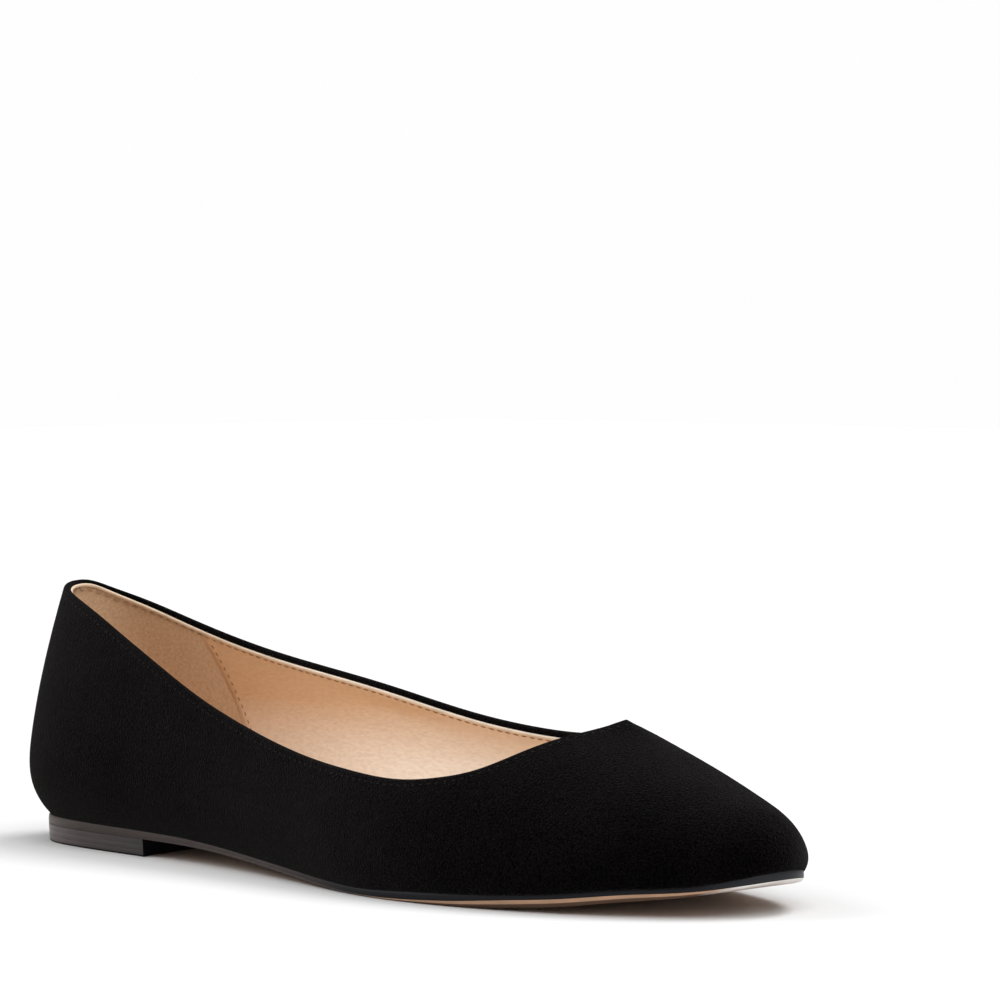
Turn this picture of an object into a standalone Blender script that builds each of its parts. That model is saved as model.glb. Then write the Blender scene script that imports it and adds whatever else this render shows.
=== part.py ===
"""Ballet flat, right foot: a lasted upper, a leather outsole, a low stacked heel and an insole.

The upper is one shell of even wall, lofted over a last. Each section of the last runs from the feather
line, where upper and sole meet, up to the crown line over the foot. The collar cuts the sections short
behind the throat, and in front of it the two sides meet along the crown. All tables are in millimetres,
with x measured forwards from the heel and y towards the inner side of the foot.
"""
from collections import namedtuple
from math import acos, asin, cos, degrees, exp, pi, radians, sin

import bmesh
import bpy
import numpy as np

MM = 0.001

# Driving sizes, in millimetres.
HEEL_BACK = 1.7        # back end of the feather line
TOE_TIP = 254.2        # front end of the feather line
THROAT = 204.0         # point of the throat, where the two sides meet
POINT_LIFT = 2.3       # the point stands up a little, pulled by the collar
POINT_SPREAD = 6.0     # over this distance
TREAD_BACK = 155.0     # flat spot of the forefoot, from here
TREAD_FRONT = 186.0    # to here
WALL = 2.0             # suede, interlining and lining together
GAP = 0.3              # left between pieces that are cemented together
HEEL_HEIGHT = 4.3      # of the stacked block
HEEL_FRONT = 56.5      # corners of the heel breast
BREAST_HOLLOW = 4.0    # how far the breast is hollowed at its middle
HEEL_INSET = 0.4       # block inside the feather line, at its top
HEEL_TAPER = 0.6       # and how much further in at the floor
SOLE_INSET = 0.3       # sole edge inside the feather line
INSOLE_INSET = 2.7     # insole edge inside the feather line
INSOLE_THICK = 1.6

# Mesh counts.
COLLAR_COLUMNS = 38
VAMP_COLUMNS = 14
WALL_ROWS = 14
CROWDING = 1.35        # columns crowd towards the throat, and rows towards the feather line
OUTLINE_STATIONS = 46
BREAST_POINTS = 12
SURVEY_STATIONS = 120  # samples that find the widest places of the upper
SURVEY_ROWS = 40
SURVEY_ANGLE = 40.0    # degrees up from the feather line
MERGE = 0.01           # points closer than this are one point
SHARP = 40.0           # degrees, above which an edge is shaded sharp

# Outline of the feather line: swing of the middle line and half widths to each side of it.
Plan = namedtuple("Plan", "x swing lateral medial")
PLAN = [
    Plan(HEEL_BACK, 0.0, 0.0, 0.0),
    Plan(8.0, 0.0, 15.8, 15.8),
    Plan(26.0, 0.0, 22.8, 22.8),
    Plan(58.0, 0.0, 25.5, 24.9),
    Plan(80.0, -0.3, 27.0, 24.8),
    Plan(100.0, -0.6, 29.4, 26.2),
    Plan(130.0, -1.2, 34.9, 31.4),
    Plan(160.0, -1.6, 39.8, 37.4),
    Plan(190.0, -0.8, 38.8, 38.0),
    Plan(215.0, 1.0, 33.2, 31.4),
    Plan(235.0, 3.0, 24.3, 22.4),
    Plan(247.0, 4.2, 14.8, 13.6),
    Plan(TOE_TIP, 4.8, 0.0, 0.0),
]

# Side profile of the sole: underside above the floor, thickness, and the bevel under its edge.
Sole = namedtuple("Sole", "x underside thickness bevel")
SOLE = [
    Sole(HEEL_BACK, 4.6, 2.6, 0.5),
    Sole(58.0, 4.6, 2.4, 0.5),
    Sole(80.0, 4.1, 2.3, 0.5),
    Sole(100.0, 2.9, 2.2, 0.5),
    Sole(120.0, 1.5, 2.3, 0.5),
    Sole(140.0, 0.3, 2.3, 0.6),
    Sole(TREAD_BACK, 0.0, 2.2, 0.8),
    Sole(170.0, 0.0, 2.8, 1.3),
    Sole(TREAD_FRONT, 0.0, 3.4, 1.5),
    Sole(200.0, 0.6, 3.5, 1.5),
    Sole(215.0, 1.8, 3.5, 1.3),
    Sole(230.0, 3.6, 3.3, 1.0),
    Sole(243.0, 5.6, 2.7, 0.7),
    Sole(TOE_TIP, 8.4, 2.2, 0.6),
]

# Sections of the last: crown point, bulge past the feather line on each side, height over which the wall
# rounds under to the feather line, and how fast it leans in towards the crown.
Last = namedtuple("Last", "x crown_x crown_y crown_z bulge_lateral bulge_medial rounding lean")
LAST = [
    Last(HEEL_BACK, 14.0, 0.0, 97.0, 5.5, 5.5, 21.0, 1.2),
    Last(8.0, 18.0, 0.0, 97.0, 6.6, 6.6, 21.0, 1.95),
    Last(26.0, 34.0, 0.0, 95.0, 6.1, 6.1, 18.0, 2.1),
    Last(58.0, 60.0, 0.0, 88.0, 3.4, 3.8, 14.0, 1.4),
    Last(100.0, 100.0, 0.5, 75.0, 2.4, 3.8, 13.0, 0.95),
    Last(130.0, 130.0, 1.5, 65.0, 2.0, 3.0, 11.0, 1.0),
    Last(160.0, 160.0, 2.6, 56.0, 1.8, 2.0, 10.0, 1.1),
    Last(190.0, 189.0, 3.0, 45.2, 1.8, 1.8, 9.0, 1.06),
    Last(216.0, 214.0, 3.4, 36.8, 1.8, 1.8, 8.0, 1.06),
    Last(235.0, 231.0, 4.0, 30.1, 1.6, 1.6, 7.0, 1.0),
    Last(247.0, 241.3, 4.4, 26.6, 1.3, 1.3, 6.0, 1.0),
    Last(TOE_TIP, 246.6, 4.6, 24.4, 1.0, 1.0, 6.0, 1.0),
]

# Height of the collar edge on each side. It meets the crown at the throat.
Collar = namedtuple("Collar", "x lateral medial")
COLLAR = [
    Collar(HEEL_BACK, 69.6, 69.6),
    Collar(8.0, 67.4, 65.2),
    Collar(26.0, 62.2, 59.2),
    Collar(58.0, 50.9, 51.4),
    Collar(80.0, 42.8, 47.9),
    Collar(100.0, 37.2, 44.5),
    Collar(130.0, 31.6, 38.8),
    Collar(150.0, 29.7, 36.4),
    Collar(165.0, 29.2, 35.5),
    Collar(178.0, 30.7, 36.0),
    Collar(190.0, 35.2, 37.5),
]

SIDES = ("lateral", "medial")
OUTWARD = {"lateral": -1.0, "medial": 1.0}

# Material name, linear colour and roughness of each piece.
FINISH = {
    "upper": ("black suede", (0.006, 0.005, 0.005), 0.95),
    "outsole": ("painted sole leather", (0.016, 0.016, 0.019), 0.55),
    "heel": ("stacked heel board", (0.075, 0.058, 0.052), 0.5),
    "insole": ("sock leather", (0.70, 0.48, 0.31), 0.6),
}


def station(x):
    """Share of the way round the outline, spaced so that the outline turns smoothly at its two ends."""
    way = (x - HEEL_BACK) / (TOE_TIP - HEEL_BACK)
    return acos(1.0 - 2.0 * way) / pi


def forward(share):
    """Distance x of a station, the inverse of station."""
    return HEEL_BACK + (TOE_TIP - HEEL_BACK) * (1.0 - cos(pi * share)) / 2.0


def spline(knots, values, level_start=True, level_end=True):
    """Cubic spline through the values, as a function. An end that isn't level runs out straight."""
    knots = np.array(knots)
    values = np.array(values)
    step = np.diff(knots)
    slope = np.diff(values) / step
    count = len(knots)
    system = np.identity(count)
    right = np.zeros(count)
    for i in range(1, count - 1):
        system[i, i - 1:i + 2] = step[i - 1], 2.0 * (step[i - 1] + step[i]), step[i]
        right[i] = 6.0 * (slope[i] - slope[i - 1])
    if level_start:
        system[0, :2] = 2.0 * step[0], step[0]
        right[0] = 6.0 * slope[0]
    if level_end:
        system[-1, -2:] = step[-1], 2.0 * step[-1]
        right[-1] = -6.0 * slope[-1]
    bend = np.linalg.solve(system, right)

    def value(at):
        i = int(np.clip(np.searchsorted(knots, at) - 1, 0, count - 2))
        after = at - knots[i]
        before = knots[i + 1] - at
        cubic = (bend[i] * before ** 3 + bend[i + 1] * after ** 3) / (6.0 * step[i])
        start = (values[i] / step[i] - bend[i] * step[i] / 6.0) * before
        end = (values[i + 1] / step[i] - bend[i + 1] * step[i] / 6.0) * after
        return float(cubic + start + end)
    return value


def columns(table, knot=station, straight=()):
    """A spline for each named column of a table. Columns named straight keep a slope at the ends."""
    knots = [knot(row.x) for row in table]
    names = [name for name in table[0]._fields if name != "x"]
    return {name: spline(knots, [getattr(row, name) for row in table],
                         name not in straight, name not in straight) for name in names}


PLAN_AT = columns(PLAN, straight=SIDES)
SOLE_AT = columns(SOLE, knot=float)
LAST_AT = columns(LAST)


def underside(x):
    """Height of the sole's underside above the floor, level where the tread rests."""
    return 0.0 if TREAD_BACK < x < TREAD_FRONT else max(SOLE_AT["underside"](x), 0.0)


def feather_height(share):
    """Height of the feather line, which is the top of the sole."""
    x = forward(share)
    return underside(x) + SOLE_AT["thickness"](x)


def outline_point(side, share, inset=0.0):
    """Plan point on the feather line, moved inwards by an inset square to the line."""
    def place(at):
        return np.array([forward(at), PLAN_AT["swing"](at) + OUTWARD[side] * PLAN_AT[side](at)])
    nudge = 0.002
    if share < nudge or share > 1.0 - nudge:
        inwards = np.array([1.0 if share < 0.5 else -1.0, 0.0])
    else:
        along = place(share + nudge) - place(share - nudge)
        inwards = np.array([along[1], -along[0]]) * OUTWARD[side] / np.hypot(*along)
    return place(share) + inset * inwards


def crown_slope(share):
    """Slope of the crown line, which the sections take over at their top on the way from throat to toe."""
    throat = station(THROAT)
    nudge = 0.01
    here = min(max(share, nudge), 1.0 - nudge)
    fall = LAST_AT["crown_z"](here + nudge) - LAST_AT["crown_z"](here - nudge)
    run = LAST_AT["crown_x"](here + nudge) - LAST_AT["crown_x"](here - nudge)
    way = max(share - throat, 0.0) / (1.0 - throat)
    return fall / run * way * way * (3.0 - 2.0 * way)


def point_lift(x, y):
    """How far the upper stands up around the point of the throat."""
    share = station(THROAT)
    away = np.hypot(x - LAST_AT["crown_x"](share), y - LAST_AT["crown_y"](share))
    return POINT_LIFT * exp(-(away / POINT_SPREAD) ** 2)


def last_point(side, share, angle):
    """Point on the outside of the upper, at an angle from 0 on the feather line to 90 on the crown."""
    turn = radians(angle)
    foot = outline_point(side, share)
    low = feather_height(share)
    crown = np.array([LAST_AT["crown_x"](share), LAST_AT["crown_y"](share)])
    rise = (LAST_AT["crown_z"](share) - low) * sin(turn)
    reach = np.hypot(*(foot - crown))
    bulge = LAST_AT["bulge_" + side](share)
    tuck = bulge * max(1.0 - rise / LAST_AT["rounding"](share), 0.0) ** 3
    width = (reach + bulge) * max(cos(turn), 0.0) ** LAST_AT["lean"](share) - tuck
    x, y = crown + (foot - crown) * width / reach
    dip = crown_slope(share) * (x - crown[0]) * sin(turn) ** 2
    return x, y, low + rise + dip + point_lift(x, y)


def collar_spline(side):
    """Angle at which the collar cuts each section, level at the heel and sloped at the throat."""
    knots = [station(row.x) for row in COLLAR]
    angles = []
    for row, share in zip(COLLAR, knots):
        low = feather_height(share)
        angles.append(degrees(asin((getattr(row, side) - low) / (LAST_AT["crown_z"](share) - low))))
    return spline(knots + [station(THROAT)], angles + [90.0], level_end=False)


COLLAR_AT = {side: collar_spline(side) for side in SIDES}


def collar_angle(side, share):
    """Angle of the upper's top edge at a station: the collar, then the crown from the throat forwards."""
    return min(COLLAR_AT[side](share), 90.0) if share < station(THROAT) else 90.0


def stations():
    """Stations of the upper's columns, with one exactly at the throat."""
    throat = station(THROAT)
    behind = 1.0 - (1.0 - np.arange(COLLAR_COLUMNS) / COLLAR_COLUMNS) ** CROWDING
    ahead = np.arange(VAMP_COLUMNS + 1) / VAMP_COLUMNS
    return np.concatenate([throat * behind, throat + (1.0 - throat) * ahead])


def place_in_frame():
    """Plan middle of the whole shoe, which is put over the origin."""
    shares = np.linspace(0.0, 1.0, SURVEY_STATIONS)
    angles = np.linspace(0.0, SURVEY_ANGLE, SURVEY_ROWS)
    points = [last_point(side, share, angle) for side in SIDES for share in shares for angle in angles]
    low = np.min(points, axis=0)
    high = np.max(points, axis=0)
    return (low + high) / 2.0


def mesh_object(name, points, faces, collection):
    """Object from points in millimetres and faces by index, with doubled points and thin faces merged."""
    build = bmesh.new()
    verts = [build.verts.new(np.array(point) * MM) for point in points]
    for face in faces:
        build.faces.new([verts[i] for i in face])
    bmesh.ops.remove_doubles(build, verts=build.verts, dist=MERGE * MM)
    bmesh.ops.dissolve_degenerate(build, edges=build.edges, dist=MERGE * MM)
    mesh = bpy.data.meshes.new(name)
    build.to_mesh(mesh)
    build.free()
    mesh.shade_smooth()
    mesh.set_sharp_from_angle(angle=radians(SHARP))
    piece = bpy.data.objects.new(name, mesh)
    title, colour, roughness = FINISH[name]
    material = bpy.data.materials.new(title)
    material.use_nodes = True
    shader = material.node_tree.nodes["Principled BSDF"]
    shader.inputs["Base Color"].default_value = (*colour, 1.0)
    shader.inputs["Roughness"].default_value = roughness
    mesh.materials.append(material)
    collection.objects.link(piece)
    return piece


def make_upper(collection):
    """The shell: a grid of columns up each side, thickened inwards to the wall."""
    points = []
    faces = []
    shares = stations()
    rows = (np.arange(WALL_ROWS + 1) / WALL_ROWS) ** CROWDING
    for side in SIDES:
        first = len(points)
        for share in shares:
            angles = collar_angle(side, share) * rows
            points += [last_point(side, share, angle) for angle in angles]
        for column in range(len(shares) - 1):
            for row in range(WALL_ROWS):
                here = first + column * (WALL_ROWS + 1) + row
                ahead = here + WALL_ROWS + 1
                face = (here, ahead, ahead + 1, here + 1)
                faces.append(face if side == "lateral" else face[::-1])
    upper = mesh_object("upper", points, faces, collection)
    wall = upper.modifiers.new("wall", "SOLIDIFY")
    wall.thickness = WALL * MM
    wall.offset = -1.0
    wall.use_even_offset = True
    return upper


def ribbed_slab(name, section, collection):
    """Closed slab from a section of points for each station, from the heel to the toe."""
    points = []
    faces = []
    for share in np.linspace(0.0, 1.0, OUTLINE_STATIONS + 1):
        ring = section(share)
        points += ring
    size = len(ring)
    for rib in range(OUTLINE_STATIONS):
        for i in range(size):
            here = rib * size + i
            beside = rib * size + (i + 1) % size
            faces.append((here, beside, beside + size, here + size))
    return mesh_object(name, points, faces, collection)


def make_outsole(collection):
    """The outsole: flat across, arched and sprung along, with its lower edge bevelled."""
    def section(share):
        x = forward(share)
        top = feather_height(share) - GAP
        low = underside(x)
        bevel = SOLE_AT["bevel"](x)
        left, right = (outline_point(side, share, SOLE_INSET) for side in SIDES)
        left_low, right_low = (outline_point(side, share, SOLE_INSET + bevel) for side in SIDES)
        return [(*left, top), (*left, low + bevel), (*left_low, low),
                (*right_low, low), (*right, low + bevel), (*right, top)]
    return ribbed_slab("outsole", section, collection)


def make_insole(collection):
    """The insole: a thin sheet on the sole, inside the wall."""
    def section(share):
        low = feather_height(share)
        left, right = (outline_point(side, share, INSOLE_INSET) for side in SIDES)
        return [(*left, low + INSOLE_THICK), (*left, low), (*right, low), (*right, low + INSOLE_THICK)]
    return ribbed_slab("insole", section, collection)


def make_heel(collection):
    """The heel block: the seat's outline, closed by a hollowed breast and tapered to the floor."""
    front = station(HEEL_FRONT)

    def ring(inset, height):
        shares = np.linspace(0.0, front, OUTLINE_STATIONS // 2)
        around = [outline_point("lateral", share, inset) for share in shares[::-1]]
        around += [outline_point("medial", share, inset) for share in shares[1:]]
        start, end = around[-1], around[0]
        for i in range(1, BREAST_POINTS):
            way = i / BREAST_POINTS
            hollow = BREAST_HOLLOW * 4.0 * way * (1.0 - way)
            around.append(start + (end - start) * way - np.array([hollow, 0.0]))
        return [(*point, height) for point in around]
    top = ring(HEEL_INSET, HEEL_HEIGHT)
    floor = ring(HEEL_INSET + HEEL_TAPER, 0.0)
    size = len(top)
    faces = [(i, (i + 1) % size, size + (i + 1) % size, size + i) for i in range(size)]
    faces += [tuple(range(size))[::-1], tuple(range(size, 2 * size))]
    return mesh_object("heel", top + floor, faces, collection)


def main():
    for old in list(bpy.data.objects):
        bpy.data.objects.remove(old)
    collection = bpy.data.collections.new("ballet_flat")
    bpy.context.scene.collection.children.link(collection)
    middle_x, middle_y, _ = place_in_frame()
    for make in (make_upper, make_outsole, make_insole, make_heel):
        piece = make(collection)
        piece.location = (-middle_x * MM, -middle_y * MM, 0.0)


if __name__ == "__main__":
    main()
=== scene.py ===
"""Ballet flat for the right foot: suede, lining, stitches, sock, sole and heel, laid out as an add-on.

Every sheet of the shoe is laid on one wall, the last's own surface, at some depth under its outside.
Lengths on the last are in millimetres, with x forwards from the heel and y towards the inner side of
the foot. The finished meshes are in metres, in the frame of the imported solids.
"""

from collections import namedtuple
from math import cos, pi, radians, sin

import bpy
import numpy as np
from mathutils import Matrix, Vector
from mathutils.kdtree import KDTree


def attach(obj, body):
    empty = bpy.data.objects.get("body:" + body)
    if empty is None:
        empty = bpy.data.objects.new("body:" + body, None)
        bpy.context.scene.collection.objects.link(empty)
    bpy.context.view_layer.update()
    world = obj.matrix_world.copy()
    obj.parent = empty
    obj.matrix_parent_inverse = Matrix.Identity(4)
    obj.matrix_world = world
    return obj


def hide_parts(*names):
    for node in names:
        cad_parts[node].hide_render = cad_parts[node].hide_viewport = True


bl_info = {
    "name": "Ballet flat",
    "version": (1, 0, 0),
    "blender": (4, 5, 0),
    "location": "3D View > Sidebar > Ballet flat",
    "description": "Dresses a ballet flat: upper, lining, stitches, sock, sole, heel and stage",
    "category": "Object",
}

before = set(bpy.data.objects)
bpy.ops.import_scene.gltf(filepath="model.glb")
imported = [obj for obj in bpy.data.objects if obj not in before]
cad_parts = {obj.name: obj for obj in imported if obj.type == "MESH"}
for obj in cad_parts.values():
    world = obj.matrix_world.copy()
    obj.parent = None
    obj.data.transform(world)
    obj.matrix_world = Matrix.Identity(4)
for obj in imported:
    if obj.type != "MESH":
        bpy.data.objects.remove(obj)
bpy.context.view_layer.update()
MM = 0.001

# Driving sizes of the last and the sole, in millimetres, close to those of the solids.
HEEL_BACK = 1.7
TOE_TIP = 254.2
THROAT = 204.0
POINT_LIFT = 3.2        # the upper stands up around the throat's point, pulled by the collar
POINT_SPREAD = 4.5      # over this distance
POINT_ROUND = 0.8       # with a tip this blunt
POINT_LENGTH = 14.0     # length over which the collar's roll thins towards the point
POINT_THIN = 0.65       # share of the roll that is gone there
HEEL_REACH = 45.0       # length over which the lining's cut edge rises towards the heel
TREAD_BACK = 155.0
TREAD_FRONT = 186.0
HEEL_HEIGHT = 4.3
HEEL_FRONT = 56.5
BREAST_HOLLOW = 4.0
HEEL_TAPER = 0.25
HEEL_SEAT = 0.28        # how far the heel goes on above HEEL_HEIGHT, to the sole
LIFT_LINE = 0.12        # half the height of the line between two lifts
LOWEST_LINE = 0.3       # no line between lifts runs lower than this
DARK_FOOT = 0.45        # height of the dark foot of the heel
FOOT_ROWS = ((0.12, 0.1), (0.0, 0.4))  # rounded foot of the heel: height and inset
SOLE_INSET = 0.3
SOLE_DROP = 0.04        # from the feather line down to the top of the sole
FINISH_ENDS = (5, 6, 8, 9, 11, 12)  # faces round the sole's section at which its finishes change
BEVEL_RISE = 1.35       # height of the bevel against its width
SEAT_FLARE = 1.2        # how far the heel seat stands out at the back
SEAT_LENGTH = 45.0      # over this distance
INSOLE_THICK = 1.6

# Outline of the feather line: swing of the middle line and half widths to each side of it.
Plan = namedtuple("Plan", "x swing lateral medial")
PLAN = [
    Plan(HEEL_BACK, 0.0, 0.0, 0.0),
    Plan(8.0, 0.0, 15.8, 15.8),
    Plan(26.0, 0.0, 22.8, 22.8),
    Plan(58.0, 0.0, 25.5, 24.9),
    Plan(80.0, -0.3, 27.0, 24.8),
    Plan(100.0, -0.6, 29.4, 26.2),
    Plan(130.0, -1.2, 34.9, 31.4),
    Plan(160.0, -1.6, 39.8, 37.4),
    Plan(190.0, -0.8, 38.8, 38.0),
    Plan(215.0, 1.0, 33.2, 31.4),
    Plan(235.0, 3.0, 24.3, 22.4),
    Plan(247.0, 4.2, 14.8, 13.6),
    Plan(TOE_TIP, 4.8, 0.0, 0.0),
]

# Side profile of the sole: underside above the floor, thickness, and the bevel under its edge.
Sole = namedtuple("Sole", "x underside thickness bevel")
SOLE = [
    Sole(HEEL_BACK, 4.6, 2.6, 0.1),
    Sole(58.0, 4.6, 2.4, 0.15),
    Sole(80.0, 4.1, 2.3, 0.6),
    Sole(100.0, 2.9, 2.2, 0.7),
    Sole(120.0, 1.5, 2.3, 0.7),
    Sole(140.0, 0.3, 2.3, 0.5),
    Sole(TREAD_BACK, 0.0, 2.2, 0.3),
    Sole(170.0, 0.0, 2.8, 0.5),
    Sole(TREAD_FRONT, 0.0, 3.4, 1.1),
    Sole(200.0, 0.6, 3.5, 1.5),
    Sole(215.0, 1.8, 3.5, 1.5),
    Sole(230.0, 3.7, 3.2, 1.3),
    Sole(243.0, 5.4, 2.6, 0.8),
    Sole(TOE_TIP, 8.4, 2.6, 0.2),
]

# Sections of the last: crown point, bulge past the feather line on each side, height over which the wall
# rounds under to the feather line, and how fast it leans in towards the crown.
Last = namedtuple("Last", "x crown_x crown_y crown_z bulge_lateral bulge_medial rounding lean")
LAST = [
    Last(HEEL_BACK, 14.0, 0.0, 97.0, 5.5, 5.5, 21.0, 1.2),
    Last(8.0, 18.0, 0.0, 97.0, 6.6, 6.6, 21.0, 1.95),
    Last(26.0, 34.0, 0.0, 95.0, 6.1, 6.1, 18.0, 2.1),
    Last(58.0, 60.0, 0.0, 88.0, 3.4, 3.8, 14.0, 1.4),
    Last(100.0, 100.0, 0.5, 75.0, 2.4, 3.8, 13.0, 0.95),
    Last(130.0, 130.0, 1.5, 65.0, 2.0, 3.0, 11.0, 1.0),
    Last(160.0, 160.0, 2.6, 56.0, 1.8, 2.0, 10.0, 1.1),
    Last(190.0, 189.0, 3.0, 45.2, 1.8, 1.8, 9.0, 1.06),
    Last(216.0, 214.0, 3.4, 36.8, 1.8, 1.8, 8.0, 1.06),
    Last(235.0, 231.0, 4.0, 30.1, 1.6, 1.6, 7.0, 1.0),
    Last(247.0, 241.3, 4.4, 26.6, 1.3, 1.3, 6.0, 1.0),
    Last(TOE_TIP, 246.6, 4.6, 24.4, 1.0, 1.0, 6.0, 1.0),
]

# Height of the collar edge on each side. It meets the crown at the throat.
Collar = namedtuple("Collar", "x lateral medial")
COLLAR = [
    Collar(HEEL_BACK, 69.6, 69.6),
    Collar(3.5, 68.9, 67.5),
    Collar(8.0, 67.4, 65.2),
    Collar(14.0, 65.7, 63.1),
    Collar(26.0, 62.2, 59.2),
    Collar(58.0, 50.9, 51.4),
    Collar(80.0, 42.8, 47.9),
    Collar(100.0, 37.2, 44.5),
    Collar(130.0, 31.6, 38.8),
    Collar(150.0, 29.7, 36.6),
    Collar(165.0, 29.2, 36.3),
    Collar(178.0, 30.7, 36.8),
    Collar(190.0, 35.2, 38.0),
]

SIDES = ("lateral", "medial")
OUTWARD = {"lateral": -1.0, "medial": 1.0}

# How the sheets are laid out on the wall.
COLLAR_BAND = 4.0       # strip under the collar edge, whose rows follow that edge
COLLAR_COLUMNS = 110
VAMP_COLUMNS = 44
WALL_ROWS = 34
COLLAR_SAMPLES = 4000
TRIALS = 160            # heights tried in a column to find the lower edge of the strip
CROWDING = 1.35         # columns crowd towards the throat, and rows towards the feather line
CROWN = 90.0            # degrees, the angle of the crown line
CROWN_END = 0.97        # station past which the crown keeps one direction, out to the tip of the toe
MERGE = 0.00002         # metres, within which points are one point
WIDEST_BELOW = 40.0     # degrees up the wall, below which the shoe is widest and longest
OUTLINE_STATIONS = 150
BREAST_POINTS = 24
PAD_MIDDLE = 105.0      # soft padding behind the lining: where it is thickest, how far it runs along
PAD_LENGTH = 50.0       # the shoe, and how it rises and falls up the wall
PAD_RISE = 0.68
TROUGH_MIDDLE = 100.0   # soft trough under the topline stitches: its place along the shoe, its length,
TROUGH_LENGTH = 20.0    # and its height on the wall
TROUGH_HEIGHT = 0.93
TROUGH_WIDTH = 0.06     # on the wall
PAINTED_LIGHT_FROM = 20.0        # heights between which painted light makes the lining paler down the wall
PAINTED_LIGHT_TO = 39.0
SEAM_CURVE = 1.4        # how the counter seam curves on its way down
SLANT_REACH = 0.2       # stations over which the columns in front of the seam straighten up again

# Rows and small distances of the sheets, in millimetres where nothing else is said.
TUCK_ROWS = ((2.4, 0.28), (1.2, 0.28), (0.25, 0.26))  # suede tucked under the last: inset and drop
SKIN_ROWS = (3.4, 2.8, 2.2, 1.7)  # suede outside, down from the collar edge
ROLL_STEPS = 12         # steps round the rolled collar edge
FOLD_START = 1.5        # first row of the fold inside
LINING_ROWS = (3.6, 3.3, 3.0, 2.7, 2.4)  # lining, down from the collar edge
LINING_UNDER_EDGE = 0.5  # from the top of the cut edge down to the top of the lining
LINING_THICK = 0.6
LAP_COLUMNS = 6         # columns that the front lining laps over the counter
EDGE_SET = 0.3          # how deep the cut edge is set into the wall
EDGE_ROUND = 0.12       # rounding of its corners
EDGE_CROWN = 0.04       # how far its middle stands out
STITCH_SINK = 0.05      # how deep the topline stitches lie in the lining
OUTER_SINK = 0.1        # and the outer ones in the suede
OUTER_STITCH = (0.85, 0.6, 0.8)  # outer stitches against the inner ones: pitch, length and thickness
SEAM_STITCH = (0.8, 0.65, 1.0)  # seam stitches against the inner ones
SEAM_STITCHES_AHEAD = 0.0068  # stations from the counter seam to its stitches
SEAM_STITCHES_FOOT = 0.08  # height on the wall at which they start
SEAM_POINTS = 40        # points of the line that they follow
SOCK_HEIGHT = 0.05      # height on the wall at which the sock meets the lining
SOCK_PROUD = 0.02       # its gap to the lining
SOCK_ROWS = 33
SOCK_CUP = 10           # how sharply the sock turns up at its edge

# Camera, found by fitting the shoe's outline to a picture of 1000 by 1000 pixels.
CAMERA_PLACE = (0.82041, -0.78687, 0.138085)
CAMERA_TURN = 44.791
CAMERA_PITCH = 2.201
CAMERA_LENS = 162.0
SENSOR = 36.0

# Soft lights, so far off that the floor is lit evenly: the way to each, its width and its strength.
SUNS = (
    ("back", (0.18, 0.45, 0.87), 28.0, 1.7),
    ("top", (0.42, -0.13, 0.897), 60.0, 1.7),
    ("side", (-0.64, -0.49, 0.59), 40.0, 1.05),
)
AMBIENT = 0.55          # strength of the light from all round
BACKGROUND = 0.99       # brightness of the background in the picture
FLOOR_SIZE = 8.0        # metres


def linear(code):
    """Linear colour of an sRGB hex value."""
    parts = [int(code[i:i + 2], 16) / 255.0 for i in (1, 3, 5)]
    return tuple(c / 12.92 if c <= 0.04045 else ((c + 0.055) / 1.055) ** 2.4 for c in parts)


def per(size):
    """Scale of a pattern whose marks are a size in millimetres apart."""
    return 1.0 / (size * MM)


def smooth(way):
    """A share between 0 and 1, eased so that it is level at both ends."""
    return way * way * (3.0 - 2.0 * way)


# The last

def station(x):
    """Share of the way round the outline, spaced so that the outline turns smoothly at its two ends."""
    way = (np.asarray(x, float) - HEEL_BACK) / (TOE_TIP - HEEL_BACK)
    return np.arccos(1.0 - 2.0 * way) / pi


def forward(share):
    """Distance x of a station, the inverse of station."""
    return HEEL_BACK + (TOE_TIP - HEEL_BACK) * (1.0 - np.cos(pi * np.asarray(share))) / 2.0


def spline(knots, values, level_start=True, level_end=True):
    """Cubic spline through the values, as a function. An end that isn't level runs out straight."""
    knots = np.array(knots, float)
    values = np.array(values, float)
    step = np.diff(knots)
    slope = np.diff(values) / step
    count = len(knots)
    system = np.identity(count)
    right = np.zeros(count)
    for i in range(1, count - 1):
        system[i, i - 1:i + 2] = step[i - 1], 2.0 * (step[i - 1] + step[i]), step[i]
        right[i] = 6.0 * (slope[i] - slope[i - 1])
    if level_start:
        system[0, :2] = 2.0 * step[0], step[0]
        right[0] = 6.0 * slope[0]
    if level_end:
        system[-1, -2:] = step[-1], 2.0 * step[-1]
        right[-1] = -6.0 * slope[-1]
    bend = np.linalg.solve(system, right)

    def value(at):
        i = np.clip(np.searchsorted(knots, at) - 1, 0, count - 2)
        after = at - knots[i]
        before = knots[i + 1] - at
        cubic = (bend[i] * before ** 3 + bend[i + 1] * after ** 3) / (6.0 * step[i])
        start = (values[i] / step[i] - bend[i] * step[i] / 6.0) * before
        end = (values[i + 1] / step[i] - bend[i + 1] * step[i] / 6.0) * after
        return cubic + start + end
    return value


def columns(table, knot=station, straight=(), level_toe=True):
    """A spline for each named column of a table. Columns named straight keep a slope at both ends."""
    knots = [float(knot(row.x)) for row in table]
    names = [name for name in table[0]._fields if name != "x"]
    return {name: spline(knots, [getattr(row, name) for row in table],
                         name not in straight, level_toe and name not in straight) for name in names}


PLAN_AT = columns(PLAN, straight=SIDES)
SOLE_AT = columns(SOLE, knot=float, level_toe=False)
LAST_AT = columns(LAST)
THROAT_SHARE = float(station(THROAT))


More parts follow.
